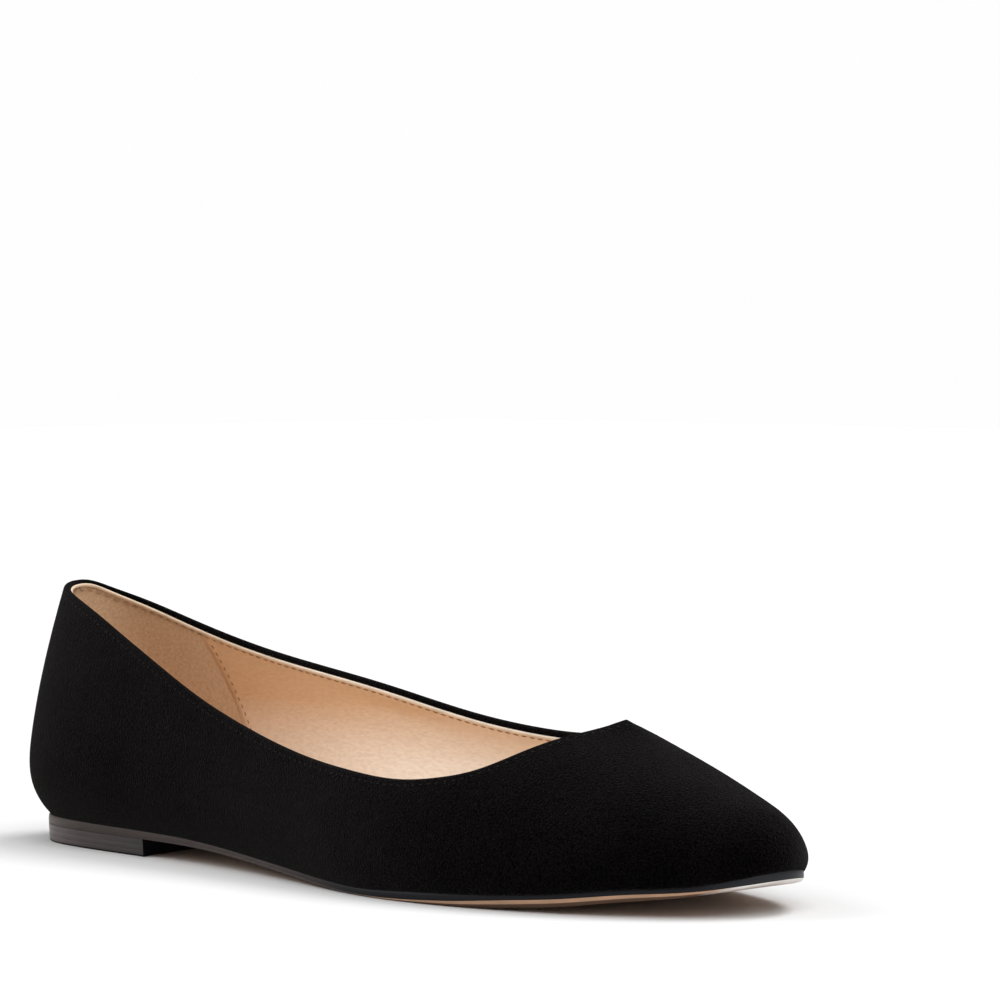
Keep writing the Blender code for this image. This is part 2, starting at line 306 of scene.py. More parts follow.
def underside(x):
    """Height of the sole's underside above the floor, level where the tread rests."""
    tread = (x > TREAD_BACK) & (x < TREAD_FRONT)
    return np.where(tread, 0.0, np.maximum(SOLE_AT["underside"](x), 0.0))


def feather_height(share):
    """Height of the feather line, where the upper meets the sole."""
    x = forward(share)
    return underside(x) + SOLE_AT["thickness"](x)


def outline(side, share, inset=0.0):
    """Plan points on the feather line, moved inwards by an inset square to the line."""
    def place(at):
        return np.stack([forward(at), PLAN_AT["swing"](at) + OUTWARD[side] * PLAN_AT[side](at)], -1)
    nudge = 0.002
    along = place(share + nudge) - place(share - nudge)
    inwards = np.stack([along[..., 1], -along[..., 0]], -1) * OUTWARD[side]
    inset = np.broadcast_to(inset, np.shape(share))[..., None]
    return place(share) + inset * inwards / np.linalg.norm(inwards, axis=-1, keepdims=True)


def crown_slope(share):
    """Slope of the crown line, which the sections take over at their top on the way from throat to toe."""
    nudge = 0.01
    here = np.clip(share, nudge, 1.0 - nudge)
    fall = LAST_AT["crown_z"](here + nudge) - LAST_AT["crown_z"](here - nudge)
    run = LAST_AT["crown_x"](here + nudge) - LAST_AT["crown_x"](here - nudge)
    way = np.maximum(share - THROAT_SHARE, 0.0) / (1.0 - THROAT_SHARE)
    return fall / run * smooth(way)


def on_last(side, share, angle):
    """Points on the outside of the upper, at angles from 0 on the feather line to 90 on the crown."""
    share, angle = np.broadcast_arrays(np.asarray(share, float), np.asarray(angle, float))
    turn = np.radians(angle)
    low = feather_height(share)
    crown = np.stack([LAST_AT["crown_x"](share), LAST_AT["crown_y"](share)], -1)
    out = outline(side, share) - crown
    reach = np.linalg.norm(out, axis=-1)
    rise = (LAST_AT["crown_z"](share) - low) * np.sin(turn)
    bulge = LAST_AT["bulge_" + side](share)
    tuck = bulge * np.maximum(1.0 - rise / LAST_AT["rounding"](share), 0.0) ** 3
    lean = np.maximum(np.cos(turn), 0.0) ** LAST_AT["lean"](share)
    plan = crown + out * (((reach + bulge) * lean - tuck) / reach)[..., None]
    dip = crown_slope(share) * (plan[..., 0] - crown[..., 0]) * np.sin(turn) ** 2
    point = np.array([LAST_AT["crown_x"](THROAT_SHARE), LAST_AT["crown_y"](THROAT_SHARE)])
    away = np.hypot(np.linalg.norm(plan - point, axis=-1), POINT_ROUND)
    lift = POINT_LIFT * np.exp(-away / POINT_SPREAD)
    return np.concatenate([plan, (low + rise + dip + lift)[..., None]], -1)


def outward(side, share, angle):
    """Directions square to the last, outwards. Both sides share one direction along the crown."""
    crown = np.asarray(angle) > CROWN - 0.5
    place = np.where(crown, np.minimum(share, CROWN_END), share)
    nudge = 0.001
    tilt = 0.1

    def of(half):
        along = on_last(half, place + nudge, angle) - on_last(half, place - nudge, angle)
        up = on_last(half, place, angle + tilt) - on_last(half, place, angle - tilt)
        square = -OUTWARD[half] * np.cross(along, up)
        return square / np.linalg.norm(square, axis=-1, keepdims=True)
    both = of("lateral") + of("medial")
    # Off the crown the two may cancel. They aren't used there, so the floor only keeps the division whole.
    both /= np.maximum(np.linalg.norm(both, axis=-1, keepdims=True), 1e-9)
    return np.where(crown[..., None], both, of(side))


def under_skin(side, share, angle, depth):
    """Points at a depth under the outside of the last."""
    depth = np.broadcast_to(depth, np.shape(share))[..., None]
    return on_last(side, share, angle) - depth * outward(side, share, angle)


def collar_spline(side):
    """Angle at which the collar cuts each section, level at the heel and sloped at the throat."""
    knots = [float(station(row.x)) for row in COLLAR]
    angles = []
    for row, share in zip(COLLAR, knots):
        low = feather_height(share)
        rise = (getattr(row, side) - low) / (LAST_AT["crown_z"](share) - low)
        angles.append(np.degrees(np.arcsin(rise)))
    return spline(knots + [THROAT_SHARE], angles + [CROWN], level_end=False)


COLLAR_AT = {side: collar_spline(side) for side in SIDES}


def collar_angle(side, share):
    """Angle of the upper's top edge at a station: the collar, then the crown from the throat forwards."""
    return np.where(share < THROAT_SHARE, np.minimum(COLLAR_AT[side](share), CROWN), CROWN)


# The wall: columns up both sides, with a strip under the collar that follows its edge

Wall = namedtuple("Wall", "share angle edge_share edge_angle")


def wall_of(side):
    """Columns of one side: where each meets the strip's lower edge, and the collar point above it."""
    ahead = np.linspace(THROAT_SHARE, 1.0, COLLAR_SAMPLES)
    crown = on_last(side, ahead, CROWN)
    meet = ahead[np.argmax(np.linalg.norm(crown - crown[0], axis=-1) >= COLLAR_BAND)]
    behind = meet * (1.0 - (1.0 - np.arange(COLLAR_COLUMNS) / COLLAR_COLUMNS) ** CROWDING)
    vamp = meet + (1.0 - meet) * np.arange(VAMP_COLUMNS + 1) / VAMP_COLUMNS
    line_share = np.linspace(0.0, THROAT_SHARE, COLLAR_SAMPLES)
    line_angle = collar_angle(side, line_share)
    tree = KDTree(COLLAR_SAMPLES)
    for i, place in enumerate(on_last(side, line_share, line_angle)):
        tree.insert(place, i)
    tree.balance()
    share = np.concatenate([behind, vamp])
    angle = np.full(len(share), CROWN)
    edge_share = share.copy()
    edge_angle = angle.copy()
    for i, here in enumerate(behind):
        trial = np.linspace(0.0, float(collar_angle(side, here)), TRIALS)
        away = np.array([tree.find(place)[2] for place in on_last(side, here, trial)])
        last = np.nonzero(away >= COLLAR_BAND)[0][-1]
        angle[i] = np.interp(-COLLAR_BAND, -away[last:last + 2], trial[last:last + 2])
        nearest = tree.find(on_last(side, here, angle[i]))[1]
        edge_share[i] = line_share[nearest]
        edge_angle[i] = line_angle[nearest]
    edge_share[COLLAR_COLUMNS] = THROAT_SHARE
    return Wall(share, angle, edge_share, edge_angle)


WALL = {side: wall_of(side) for side in SIDES}


def below(down):
    """Height on the wall of a line that runs a distance under the collar edge, within the strip."""
    return 2.0 - down / COLLAR_BAND


def wall_half(side, height, depth, crown_depth=None, slant=None):
    """Row of points on one side, from heel to toe. Height is 0 on the feather line, 1 under the collar
    strip and 2 on the collar edge. In front of the throat the strip closes to the crown, at crown_depth."""
    wall = WALL[side]
    low = np.minimum(height, 1.0)
    high = np.maximum(height - 1.0, 0.0)
    share = wall.share + (wall.edge_share - wall.share) * high
    if slant:
        share = slant(share, low)
    angle = wall.angle * low + (wall.edge_angle - wall.angle) * high
    depths = np.broadcast_to(np.asarray(depth, float), share.shape).copy()
    if crown_depth is not None and np.max(high) > 0.0:
        depths[COLLAR_COLUMNS + 1:] = crown_depth
    return under_skin(side, share, angle, depths)


def wall_row(height, depth, crown_depth=None, slant=None):
    """Row of points from the toe along the outer side to the heel, and along the inner side to the toe."""
    outer, inner = (wall_half(side, height, depth, crown_depth, slant) for side in SIDES)
    return np.concatenate([outer[::-1], inner[1:]])


def in_front():
    """The columns of a wall row that lie in front of the throat, where the collar strip is closed."""
    along = np.arange(2 * (COLLAR_COLUMNS + VAMP_COLUMNS) + 1)
    return np.minimum(along, along[::-1]) < VAMP_COLUMNS


def collar_line(down, depth):
    """Points from the throat round the heel, at a distance under the collar edge and at a depth."""
    row = wall_row(below(down), depth)
    return row[VAMP_COLUMNS:len(row) - VAMP_COLUMNS]


def near_point():
    """How near each column's collar point is to the throat's point: 1 there, 0 from POINT_LENGTH away."""
    edge = on_last("lateral", WALL["lateral"].edge_share, WALL["lateral"].edge_angle)
    point = edge[COLLAR_COLUMNS]
    away = np.linalg.norm(edge - point, axis=-1)
    away[COLLAR_COLUMNS:] = 0.0
    return smooth(np.clip(1.0 - away / POINT_LENGTH, 0.0, 1.0))


def near_heel():
    """How near each column's collar point is to the back of the heel: 1 there, 0 from HEEL_REACH on."""
    away = forward(WALL["lateral"].edge_share) - HEEL_BACK
    return smooth(np.clip(1.0 - away / HEEL_REACH, 0.0, 1.0))


def wall_heights(count):
    """Heights from the feather line to the collar strip, closer together near the feather line."""
    return (np.arange(count + 1) / count) ** CROWDING


def middle_of_shoe():
    """Plan middle of the upper, which lies over the frame's origin."""
    shares = np.linspace(0.0, 1.0, 120)[:, None]
    angles = np.linspace(0.0, WIDEST_BELOW, 40)[None, :]
    points = np.concatenate([on_last(side, shares, angles).reshape(-1, 3) for side in SIDES])
    middle = (points.min(0) + points.max(0)) / 2.0
    return np.array([middle[0], middle[1], 0.0])


MIDDLE = middle_of_shoe()


def to_frame(points):
    """Points of the last, in millimetres, as points of the frame, in metres."""
    return (np.asarray(points, float) - MIDDLE) * MM


# Modelling

def mode(name):
    """Turns to edit mode or object mode."""
    bpy.ops.object.mode_set(mode=name)


def closed_strip(closed, rows, strip):
    """Faces of a grid in the collar strip, of strip rows, next to a column in front of the throat."""
    gone = np.zeros((rows - 1, len(closed) - 1), bool)
    gone[-strip:] = closed[1:] | closed[:-1]
    return gone


def sheet(name, rows, gone=None):
    """A grid primitive laid over rows of points, less the faces that are gone, with its seams merged."""
    places = to_frame(rows)
    high, wide = places.shape[:2]
    bpy.ops.object.select_all(action="DESELECT")
    bpy.ops.mesh.primitive_grid_add(x_subdivisions=wide - 1, y_subdivisions=high - 1)
    piece = bpy.context.object
    piece.name = name
    piece.data.name = name
    piece.data.vertices.foreach_set("co", places.reshape(-1).astype(np.float32))
    mode("EDIT")
    if gone is not None:
        bpy.ops.mesh.select_mode(type="FACE")
        bpy.ops.mesh.select_all(action="DESELECT")
        mode("OBJECT")
        piece.data.polygons.foreach_set("select", gone.reshape(-1))
        mode("EDIT")
        bpy.ops.mesh.delete(type="FACE")
        bpy.ops.mesh.select_mode(type="VERT")
    bpy.ops.mesh.select_all(action="SELECT")
    bpy.ops.mesh.remove_doubles(threshold=MERGE)
    bpy.ops.mesh.dissolve_degenerate(threshold=MERGE)
    mode("OBJECT")
    bpy.ops.object.shade_smooth()
    return piece


def cap(piece, height):
    """Faces over the open rim of a piece at a height in millimetres."""
    mode("EDIT")
    bpy.ops.mesh.select_all(action="DESELECT")
    mode("OBJECT")
    for vertex in piece.data.vertices:
        vertex.select = abs(vertex.co.z - height * MM) < MERGE
    mode("EDIT")
    bpy.ops.mesh.fill()
    bpy.ops.mesh.select_all(action="SELECT")
    bpy.ops.mesh.normals_make_consistent(inside=False)
    mode("OBJECT")


def modify(piece, kind, **settings):
    """A modifier, set and applied."""
    bpy.context.view_layer.objects.active = piece
    modifier = piece.modifiers.new(kind.lower(), kind)
    for name, value in settings.items():
        setattr(modifier, name, value)
    bpy.ops.object.modifier_apply(modifier=modifier.name)


def thicken(piece, thickness):
    """Thickness behind a sheet's face."""
    modify(piece, "SOLIDIFY", thickness=thickness, offset=-1.0, use_even_offset=False)


def finish(piece, slot, *materials, replaces=None):
    """Materials and place in the assembly of a finished piece."""
    if not piece.data.polygons:
        raise RuntimeError(piece.name + " has no faces")
    for material in materials:
        piece.data.materials.append(material)
    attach(piece, "root")
    if replaces:
        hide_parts(replaces)


def faces_by_place(piece, bounds, axis=1):
    """Material of each face by its place in the grid: bounds are the ends of each material's share."""
    mesh = piece.data
    uv = np.zeros(len(mesh.loops) * 2, np.float32)
    mesh.uv_layers[0].uv.foreach_get("vector", uv)
    across = uv.reshape(-1, 2)[:, axis]
    for face in mesh.polygons:
        middle = across[face.loop_start:face.loop_start + face.loop_total].mean()
        face.material_index = int(np.searchsorted(bounds, middle))


# Materials

def add(tree, kind, **sockets):
    """A node with its inputs set or linked by name."""
    node = tree.nodes.new(kind)
    for name, value in sockets.items():
        socket = node.inputs[name.replace("_", " ")]
        if isinstance(value, bpy.types.NodeSocket):
            tree.links.new(value, socket)
        else:
            socket.default_value = value
    return node


def noise(tree, place, size, detail, roughness=0.5, stretch=None):
    """Cloudy marks of a size in millimetres, as a share. A stretch draws them out along the axes."""
    if stretch:
        place = add(tree, "ShaderNodeMapping", Vector=place, Scale=stretch).outputs["Vector"]
    return add(tree, "ShaderNodeTexNoise", Vector=place, Scale=per(size), Detail=detail,
               Roughness=roughness).outputs["Fac"]


def between(tree, place, axis, low, high):
    """Share of the way along an axis, from low to high in millimetres."""
    split = add(tree, "ShaderNodeSeparateXYZ", Vector=place)
    return add(tree, "ShaderNodeMapRange", Value=split.outputs[axis],
               From_Min=low * MM, From_Max=high * MM).outputs["Result"]


def ramp(tree, share, *stops):
    """Colour of a share. Stops list share and colour."""
    node = add(tree, "ShaderNodeValToRGB", Fac=share)
    while len(node.color_ramp.elements) < len(stops):
        node.color_ramp.elements.new(0.5)
    for element, (at, colour) in zip(node.color_ramp.elements, stops):
        element.position = at
        element.color = (*colour, 1.0)
    return node.outputs["Color"]


def mix(tree, blend, weight, one, other):
    """Two colours blended, with a weight."""
    node = add(tree, "ShaderNodeMixRGB", Fac=weight, Color1=one, Color2=other)
    node.blend_type = blend
    return node.outputs["Color"]


def shaded(tree, tone, marks, low, high, shade):
    """A tone, darkened by a shade where the marks are low."""
    return mix(tree, "MULTIPLY", 1.0, tone, ramp(tree, marks, (low, shade), (high, (1.0, 1.0, 1.0))))


def new_material(name, **sockets):
    """A Principled material with constant values, its tree, its shader and its object coordinates."""
    material = bpy.data.materials.new(name)
    material.use_nodes = True
    tree = material.node_tree
    shader = tree.nodes["Principled BSDF"]
    for socket, value in sockets.items():
        shader.inputs[socket.replace("_", " ")].default_value = value
    return material, tree, shader, add(tree, "ShaderNodeTexCoord").outputs["Object"]


def surface(tree, shader, tint, height, strength, relief):
    """Colour and relief of a shader. Relief is the height of the marks in millimetres."""
    tree.links.new(tint, shader.inputs["Base Color"])
    bump = add(tree, "ShaderNodeBump", Strength=strength, Distance=relief * MM, Height=height)
    tree.links.new(bump.outputs["Normal"], shader.inputs["Normal"])


def black_suede(colours):
    """Split leather buffed to a short nap: dull black, finely pebbled, and grey where it turns away."""
    material, tree, shader, place = new_material(
        "black suede, buffed nap", Roughness=1.0, Specular_IOR_Level=0.0,
        Sheen_Weight=0.06, Sheen_Roughness=0.36, Sheen_Tint=(1.0, 0.96, 0.95, 1.0))
    pebble = add(tree, "ShaderNodeTexVoronoi", Vector=place, Scale=per(0.5)).outputs["Distance"]
    nap = mix(tree, "SUBTRACT", 0.45, noise(tree, place, 0.4, 2.0, 0.6), pebble)
    speckle = ramp(tree, nap, (0.1, colours.suede_deep), (0.5, colours.suede_light))
    brushed = noise(tree, place, 14.0, 3.0)
    surface(tree, shader, shaded(tree, speckle, brushed, 0.35, 0.65, (0.7, 0.7, 0.71)), nap, 1.0, 0.4)
    return material


def lining_leather(colours):
    """Smooth lining leather, plated: tan under the collar and painted paler low on the wall, a painted glow
    that stands in for light thrown back from the lit sock, with a fine wavy grain along the foot and a
    satin gloss."""
    material, tree, shader, place = new_material(
        "lining leather, plated", Roughness=0.4, Specular_IOR_Level=0.8)
    # Painted light: the lining is paler low on the wall and tan higher up.
    up = between(tree, place, "Z", PAINTED_LIGHT_FROM, PAINTED_LIGHT_TO)
    tone = ramp(tree, up, (0.0, colours.lining_pale), (1.0, colours.lining))
    grain = noise(tree, place, 0.9, 1.0, stretch=(0.5, 1.0, 1.0))
    surface(tree, shader, shaded(tree, tone, grain, 0.35, 0.6, (0.93, 0.92, 0.91)), grain, 0.7, 0.2)
    return material


def counter_leather(colours):
    """Lining leather worn flesh side out, so that it grips the heel: matte, with a fine felted speckle."""
    material, tree, shader, place = new_material(
        "counter lining leather, flesh side", Roughness=0.9, Specular_IOR_Level=0.15, Sheen_Weight=0.1)
    felt = noise(tree, place, 0.8, 3.0, 0.7)
    tone = ramp(tree, felt, (0.3, colours.counter_deep), (0.7, colours.counter))
    surface(tree, shader, tone, felt, 0.4, 0.2)
    return material


def mottled(name, light, depth, grain, relief, roughness, gloss, stretch=None):
    """A plain leather, thread, board or paper: a light tone and a deeper one, depth times as light, in
    marks of a grain size, in relief."""
    material, tree, shader, place = new_material(name, Roughness=roughness, Specular_IOR_Level=gloss)
    marks = noise(tree, place, grain, 3.0, stretch=stretch)
    tone = ramp(tree, marks, (0.35, [c * depth for c in light]), (0.65, light))
    surface(tree, shader, tone, marks, 0.3, relief)
    return material


def along_shoe(name, stops, roughness, gloss):
    """A leather, board or thread whose colour changes along the shoe: stops list x in millimetres and
    colour. Faint marks run level round the shoe."""
    material, tree, shader, place = new_material(name, Roughness=roughness, Specular_IOR_Level=gloss)
    low, high = stops[0][0], stops[-1][0]
    way = between(tree, place, "X", low - MIDDLE[0], high - MIDDLE[0])
    tone = ramp(tree, way, *(((x - low) / (high - low), colour) for x, colour in stops))
    marks = noise(tree, place, 0.9, 3.0, stretch=(0.15, 0.15, 1.0))
    surface(tree, shader, shaded(tree, tone, marks, 0.3, 0.7, (0.8, 0.8, 0.8)), marks, 0.25, 0.1)
    return material


# Settings

def length(name, description, millimetres):
    """A size that a user may change, given in millimetres and kept in metres."""
    return bpy.props.FloatProperty(name=name, description=description, default=millimetres * MM,
                                   min=0.0, precision=5, unit="LENGTH")


def colour(name, description, code):
    """A colour that a user may change, given as an sRGB hex value."""
    return bpy.props.FloatVectorProperty(name=name, description=description, default=linear(code),
                                         min=0.0, max=1.0, subtype="COLOR")


class FlatSizes(bpy.types.PropertyGroup):
    """Sizes of the sheets, edges and stitches."""
    wall: length("Wall", "Suede, interlining and lining together", 2.0)
    suede: length("Suede", "Thickness of the suede", 0.8)
    fold: length("Fold", "How far the folded collar edge reaches down inside", 2.2)
    edge_top: length("Edge top", "Top of the lining's cut edge, under the collar", 1.35)
    edge_rise: length("Edge rise", "How much nearer to the collar's top the cut edge runs at the heel", 0.5)
    edge_width: length("Edge width", "Height of the lining's cut edge", 0.9)
    edge_proud: length("Edge proud", "How far the cut edge stands out from the lining", 0.25)
    lining: length("Lining", "How far the front lining stands over the counter lining", 0.3)
    pad: length("Padding", "Soft padding behind the lining, halfway up the sides", 4.0)
    trough: length("Trough", "Soft trough in the lining under the topline stitches", 0.5)
    seam_top: length("Seam top", "Distance of the counter seam from the heel, at the collar", 31.2)
    seam_foot: length("Seam foot", "Distance of the counter seam from the heel, at the sock", 49.8)
    stitch_row: length("Stitch row", "Distance of the topline stitches from the collar edge, inside", 2.65)
    outer_row: length("Outer row", "Distance of the topline stitches from the collar edge, outside", 2.0)
    pitch: length("Pitch", "From one stitch to the next", 2.7)
    stitch: length("Stitch", "Length of a stitch", 1.9)
    thread: length("Thread", "Thickness of the thread", 0.42)
    sock: length("Sock", "Thickness of the sock lining", 0.5)
    lift: length("Lift", "Height of one lift of the stacked heel", 1.5)
    groove: length("Groove", "Depth of the line between two lifts", 0.04)


class FlatColours(bpy.types.PropertyGroup):
    """Colours of the materials."""
    suede_light: colour("Suede light", "Tips of the nap", "#100e0e")
    suede_deep: colour("Suede deep", "Between the tips of the nap", "#030202")
    lining: colour("Lining", "Front lining, under the collar", "#d6ae88")
    # Painted light: a paler tan for the lining low on the wall, standing in for the glow from the lit sock.
    lining_pale: colour("Lining pale", "Front lining, low on the wall", "#f6ece0")
    counter: colour("Counter", "Counter lining", "#d3b69a")
    counter_deep: colour("Counter deep", "Counter lining, between the fibres", "#bc9b79")
    edge: colour("Edge", "Cut edge of the lining", "#ead9c5")
    edge_heel: colour("Edge at the heel", "Cut edge of the lining round the heel", "#dcc5ab")
    thread: colour("Thread", "Thread of the lining", "#9c744f")
    thread_heel: colour("Thread at the heel", "Thread of the lining round the heel", "#b5936f")
    thread_black: colour("Black thread", "Thread of the upper", "#232121")
    sock: colour("Sock", "Sock lining", "#d9bd9f")
    paint: colour("Paint", "Painted sole edge at the forefoot", "#0d0e13")
    paint_toe: colour("Paint at the toe", "Painted sole edge round the toe, where it thins", "#2a2b2f")
    waist: colour("Waist", "Sole edge at the heel and waist", "#3f3532")
    bare: colour("Bare leather", "Bevel and underside of the sole", "#c39a7b")
    # Painted shadow: the dark foot of the bevel, where the floor shades it next to the tread.
    worn: colour("Bevel shadow", "Foot of the bevel, next to the tread", "#5c4433")
    # Painted reflection: the white floor's glare on the bevel and underside at the toe, painted pale.
    pale: colour("Pale leather", "Bevel and underside at the toe", "#f2ebe6")
    heel: colour("Heel", "Stacked heel, halfway along", "#3a2f2d")
    # Painted light and shade: the heel is lighter at the back, where the light falls, and darker next to
    # the breast.
    heel_back: colour("Heel back", "Stacked heel and sole edge at the back", "#625654")
    heel_front: colour("Heel front", "Stacked heel next to the breast", "#251d1c")
    floor: colour("Floor", "Studio floor", "#d2d2d2")


# Operators

def settings(context):
    """Sizes in millimetres, by name, and colours."""
    group = context.scene.flat_sizes
    names = FlatSizes.__annotations__
    sizes = namedtuple("Sizes", names)(*(getattr(group, name) / MM for name in names))
    return sizes, context.scene.flat_colours


def seam_share(sizes, height):
    """Station of the counter seam at a height on the wall. It leans forwards to its foot, in a curve."""
    return station(sizes.seam_foot + (sizes.seam_top - sizes.seam_foot) * height ** SEAM_CURVE)


def seam_slant(sizes):
    """Function that leans the columns around the counter seam so that one of them lies along it."""
    top = seam_share(sizes, 1.0)

    def slant(share, height):
        near = np.where(share < top, (share / top) ** 1.5, np.exp(-((share - top) / SLANT_REACH) ** 2))
        return share + (seam_share(sizes, height) - top) * near
    return slant


def padding(sizes, share, height):
    """Depth of the soft padding behind the lining, which makes the lower wall face up towards the light,
    less the soft trough that the topline stitches draw in above it."""
    along = forward(share)
    pad = np.exp(-((along - PAD_MIDDLE) / PAD_LENGTH) ** 2) * np.sin(pi * height ** PAD_RISE) ** 2
    ahead = (along - TROUGH_MIDDLE) / TROUGH_LENGTH
    above = (height - TROUGH_HEIGHT) / TROUGH_WIDTH
    return sizes.pad * pad - sizes.trough * np.exp(-ahead ** 2 - above ** 2)


def lay_stitches(name, points, normals, pitch, size, thread):
    """Stitches of one thread along a line of points, each a flattened bead with its ends sunk in."""
    bpy.ops.object.select_all(action="DESELECT")
    bpy.ops.mesh.primitive_uv_sphere_add(segments=8, ring_count=6, radius=1.0)
    bead = bpy.context.object
    mode("EDIT")
    bpy.ops.mesh.select_all(action="SELECT")
    bpy.ops.transform.rotate(value=pi / 2.0, orient_axis="Y", center_override=(0.0, 0.0, 0.0))
    bpy.ops.transform.resize(value=(size / 2.0, thread / 2.0, thread / 2.0))
    mode("OBJECT")
    shape = np.array([v.co for v in bead.data.vertices])
    faces = [list(face.vertices) for face in bead.data.polygons]
    bpy.data.objects.remove(bead)
    run = np.concatenate([[0.0], np.cumsum(np.linalg.norm(np.diff(points, axis=0), axis=1))])
    count = int(run[-1] / pitch)
    middles = (np.arange(count) + 0.5) * run[-1] / count

    def at(line, way):
        return np.stack([np.interp(way, run, line[:, i]) for i in range(3)], -1)
    nudge = 0.3
    along = at(points, middles + nudge) - at(points, middles - nudge)
    along /= np.linalg.norm(along, axis=1, keepdims=True)
    up = at(normals, middles)
    up -= along * np.sum(along * up, axis=1, keepdims=True)
    up /= np.linalg.norm(up, axis=1, keepdims=True)
    across = np.cross(up, along)
    turn = np.stack([along, across, up], 1)
    verts = np.einsum("vi,nij->nvj", shape, turn) + at(points, middles)[:, None]
    mesh = bpy.data.meshes.new(name)
    mesh.from_pydata(to_frame(verts.reshape(-1, 3)).tolist(), [],
                     [[i + n * len(shape) for i in face] for n in range(count) for face in faces])
    mesh.shade_smooth()
    piece = bpy.data.objects.new(name, mesh)
    bpy.context.scene.collection.objects.link(piece)
    return piece


class FlatUpper(bpy.types.Operator):
    """Suede upper: one skin from the feather line, over the folded collar edge and down inside"""
    bl_idname = "ballet_flat.upper"
    bl_label = "Suede upper"

    def execute(self, context):
        sizes, colours = settings(context)
        feather = wall_row(0.0, 0.0)
        rows = []
        for inset, drop in TUCK_ROWS:
            tucked = np.concatenate([outline("lateral", WALL["lateral"].share[::-1], inset),
                                     outline("medial", WALL["medial"].share[1:], inset)])
            rows.append(np.column_stack([tucked, feather[:, 2] - drop]))
        rows += [wall_row(height, 0.0) for height in wall_heights(WALL_ROWS)]
        rows += [wall_row(below(down), 0.0, 0.0) for down in SKIN_ROWS]
        radius = sizes.wall / 2.0 * (1.0 - POINT_THIN * near_point())
        for step in range(ROLL_STEPS + 1):
            turn = pi * step / ROLL_STEPS
            rows.append(wall_row(below(radius - radius * sin(turn)), radius - radius * cos(turn), 0.0))
        rows += [wall_row(below(down), sizes.wall, 0.0) for down in (FOLD_START, sizes.fold)]
        strip = len(rows) - len(TUCK_ROWS) - (WALL_ROWS + 1)
        upper = sheet("suede_upper", np.array(rows)[:, ::-1], closed_strip(in_front(), len(rows), strip))
        thicken(upper, sizes.suede * MM)
        finish(upper, "upper", black_suede(colours), replaces="upper")
        return {"FINISHED"}


class FlatLining(bpy.types.Operator):
    """Lining: a matte counter round the heel, a smooth front lining lapped over it, and its cut edge"""
    bl_idname = "ballet_flat.lining"
    bl_label = "Lining"

    def execute(self, context):
        sizes, colours = settings(context)
        slant = seam_slant(sizes)
        face = sizes.wall + sizes.lining
        heights = list(wall_heights(WALL_ROWS))
        top = sizes.edge_top - sizes.edge_rise * near_heel()
        downs = (*LINING_ROWS, top + LINING_UNDER_EDGE)
        share = WALL["medial"].share

        def lay(depth):
            rows = [wall_row(height, depth + padding(sizes, slant(share, height), height), depth, slant)
                    for height in heights]
            rows += [wall_row(below(down), depth, depth) for down in downs]
            return np.array(rows)
        wall = lay(sizes.wall)
        front = lay(face)
        heel = len(WALL["lateral"].share) - 1
        seam = int(np.argmin(np.abs(WALL["lateral"].share - seam_share(sizes, 1.0))))
        lap = seam + LAP_COLUMNS
        counter = sheet("counter_lining", wall[:, heel - lap:heel + lap + 1])
        thicken(counter, LINING_THICK * MM)
        finish(counter, "upper", counter_leather(colours))
        order = np.concatenate([[heel + seam], np.arange(heel + seam, 2 * heel + 1),
                                np.arange(1, heel - seam + 1), [heel - seam]])
        around = front[:, order]
        around[:, [0, -1]] = wall[:, [heel + seam, heel - seam]]
        lining = sheet("front_lining", around, closed_strip(in_front()[order], len(around), len(downs)))
        thicken(lining, LINING_THICK * MM)
        finish(lining, "upper", lining_leather(colours))
        foot = top + sizes.edge_width
        proud = face + sizes.edge_proud
        ring = [(top, sizes.wall - EDGE_SET), (top, proud - EDGE_ROUND), (top + EDGE_ROUND, proud),
                (top + sizes.edge_width / 2.0, proud + EDGE_CROWN),
                (foot - EDGE_ROUND, proud), (foot, proud - EDGE_ROUND), (foot, sizes.wall - EDGE_SET)]
        ring.append(ring[0])
        rows = [collar_line(down, depth) for down, depth in ring]
        edge = sheet("lining_edge", np.array(rows)[:, ::-1])
        # Cut leather left raw: a matt cream line, duller round the heel.
        raw = along_shoe("lining leather, cut edge", [
            (8.0, colours.edge_heel), (40.0, colours.edge_heel),
            (80.0, colours.edge), (THROAT, colours.edge)], 0.7, 0.3)
        finish(edge, "upper", raw)
        return {"FINISHED"}


